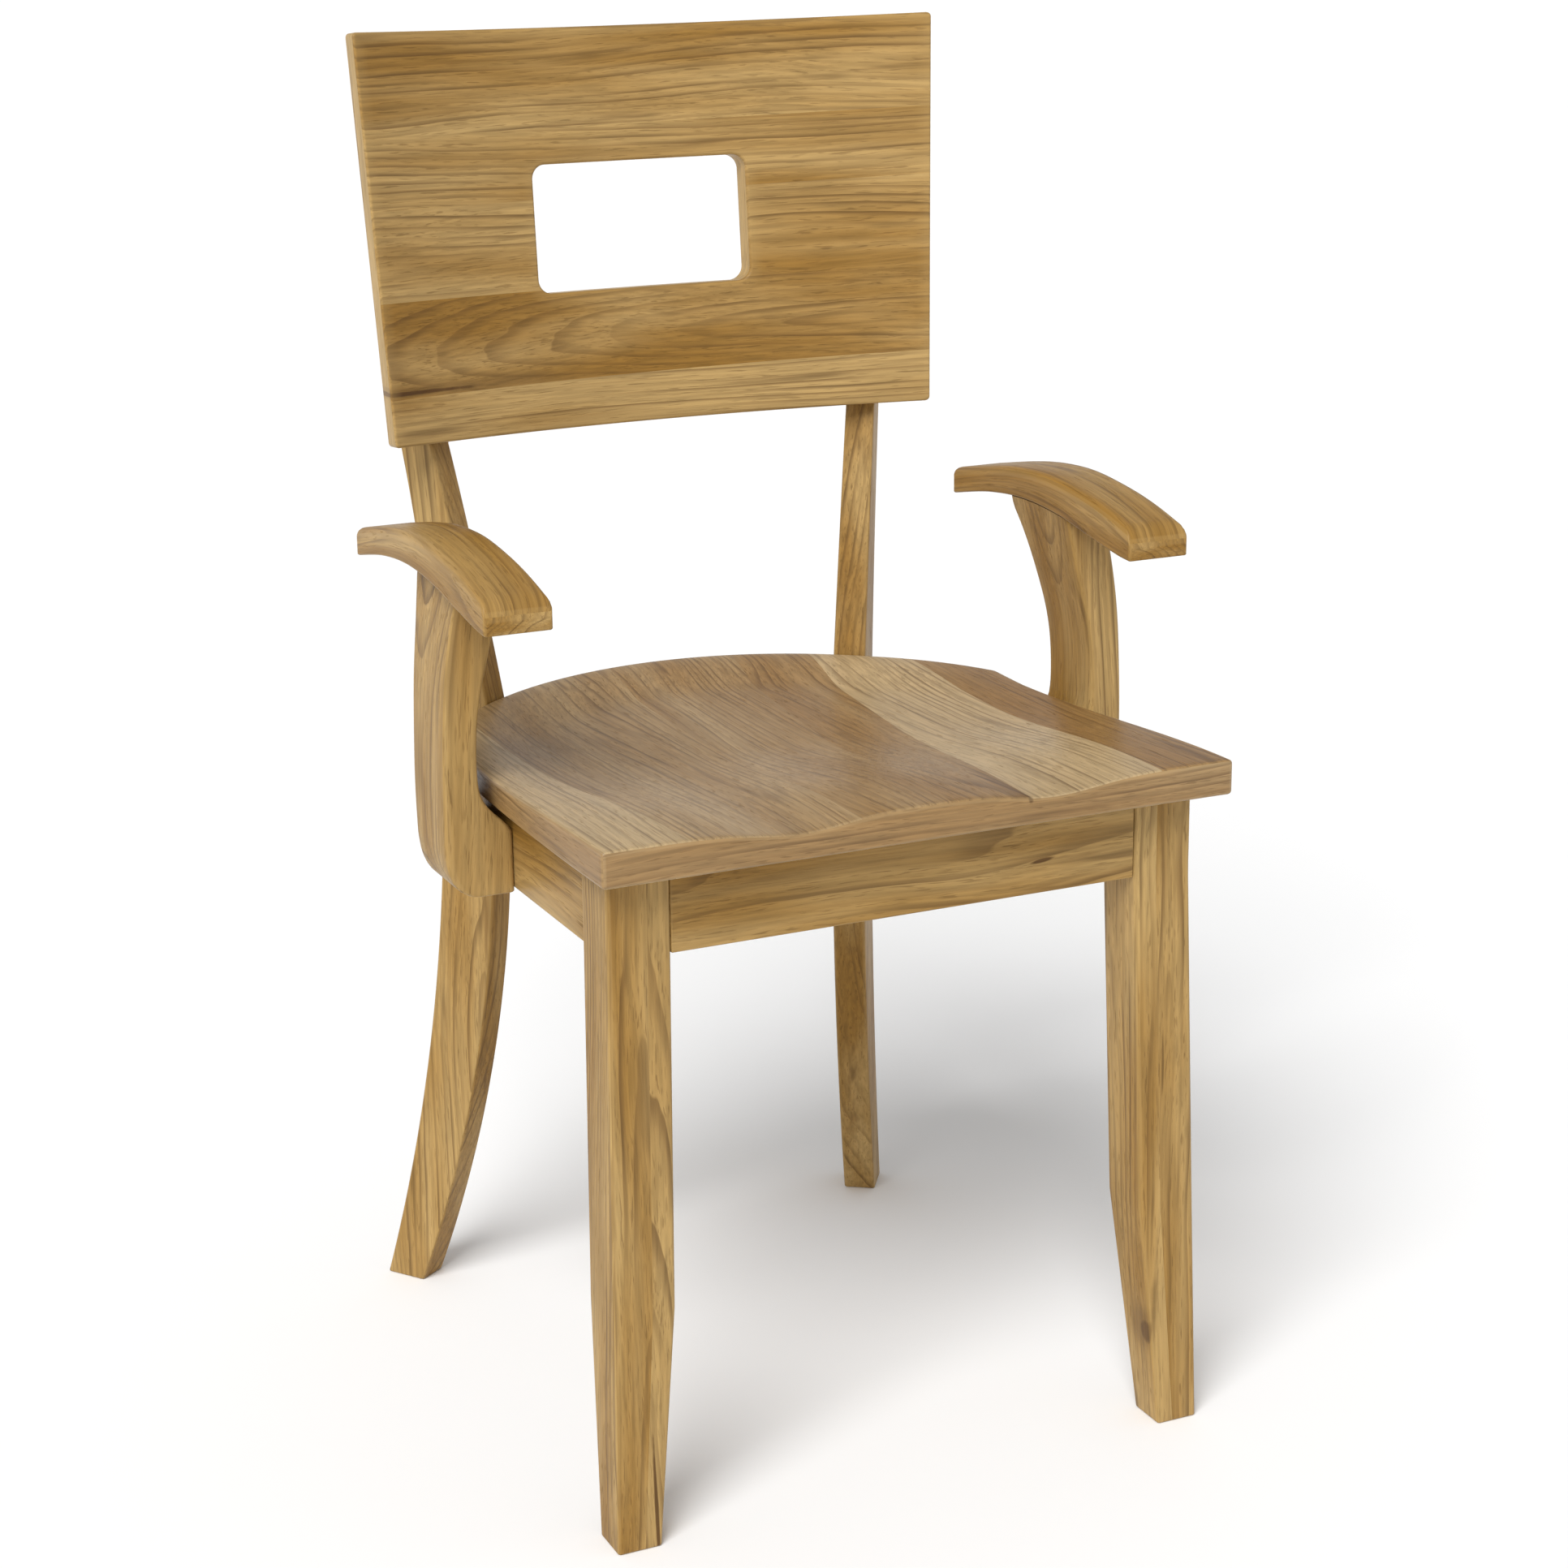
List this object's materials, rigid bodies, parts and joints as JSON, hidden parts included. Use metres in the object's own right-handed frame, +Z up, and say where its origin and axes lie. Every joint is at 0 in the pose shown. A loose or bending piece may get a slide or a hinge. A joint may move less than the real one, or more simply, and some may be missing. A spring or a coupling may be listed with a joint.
{
  "type": "dining armchair",
  "caption": "Hardwood dining armchair with a saddled D-shaped seat, square front legs, sabre rear posts, a bowed back panel with a hand hole, and arched arms on J-shaped supports.",
  "frame": {"origin": "on the floor, under the middle of the chair's bounding box", "axes": "+Z up, the chair faces -Y, +X to the right of somebody who faces the chair"},
  "size_m": [0.4976, 0.4988, 0.9193],
  "materials": {
    "seat_wood": "clear satin finish over glued-up light hardwood boards",
    "panel_wood": "clear satin finish, grain running across",
    "rail_wood": "clear satin finish, grain along the rail",
    "leg_wood": "clear satin finish, grain running up",
    "arm_wood": "clear satin finish, grain along the arm",
    "block_wood": "bare sanded wood",
    "dowel": "bare wood",
    "steel": "plain zinc-plated screws and bolts"
  },
  "bodies": {
    "root": {"seat": "seat_wood", "front_apron": "rail_wood", "side_apron_left": "rail_wood", "side_apron_right": "rail_wood", "rear_apron": "rail_wood", "back_panel": "panel_wood", "front_leg_left": "leg_wood", "rear_post_left": "leg_wood", "arm_rest_left": "arm_wood", "arm_support_left": "leg_wood", "front_corner_block_left": "block_wood", "rear_corner_block_left": "block_wood", "front_leg_right": "leg_wood", "rear_post_right": "leg_wood", "arm_rest_right": "arm_wood", "arm_support_right": "leg_wood", "front_corner_block_right": "block_wood", "rear_corner_block_right": "block_wood", "front_apron_dowel_left_low": "dowel", "side_apron_dowel_left_low": "dowel", "post_bolt_left_low": "steel", "panel_screw_left_low": "steel", "front_apron_dowel_left_high": "dowel", "side_apron_dowel_left_high": "dowel", "post_bolt_left_high": "steel", "panel_screw_left_high": "steel", "support_screw_left_front": "steel", "arm_dowel_left_front": "dowel", "seat_screw_left_front": "steel", "support_screw_left_rear": "steel", "arm_dowel_left_rear": "dowel", "seat_screw_left_rear": "steel", "front_block_screw_left_front": "steel", "front_block_screw_left_side": "steel", "rear_block_screw_left_side": "steel", "rear_block_screw_left_rear": "steel", "front_apron_dowel_right_low": "dowel", "side_apron_dowel_right_low": "dowel", "post_bolt_right_low": "steel", "panel_screw_right_low": "steel", "front_apron_dowel_right_high": "dowel", "side_apron_dowel_right_high": "dowel", "post_bolt_right_high": "steel", "panel_screw_right_high": "steel", "support_screw_right_front": "steel", "arm_dowel_right_front": "dowel", "seat_screw_right_front": "steel", "support_screw_right_rear": "steel", "arm_dowel_right_rear": "dowel", "seat_screw_right_rear": "steel", "front_block_screw_right_front": "steel", "front_block_screw_right_side": "steel", "rear_block_screw_right_side": "steel", "rear_block_screw_right_rear": "steel"}
  },
  "joints": []
}
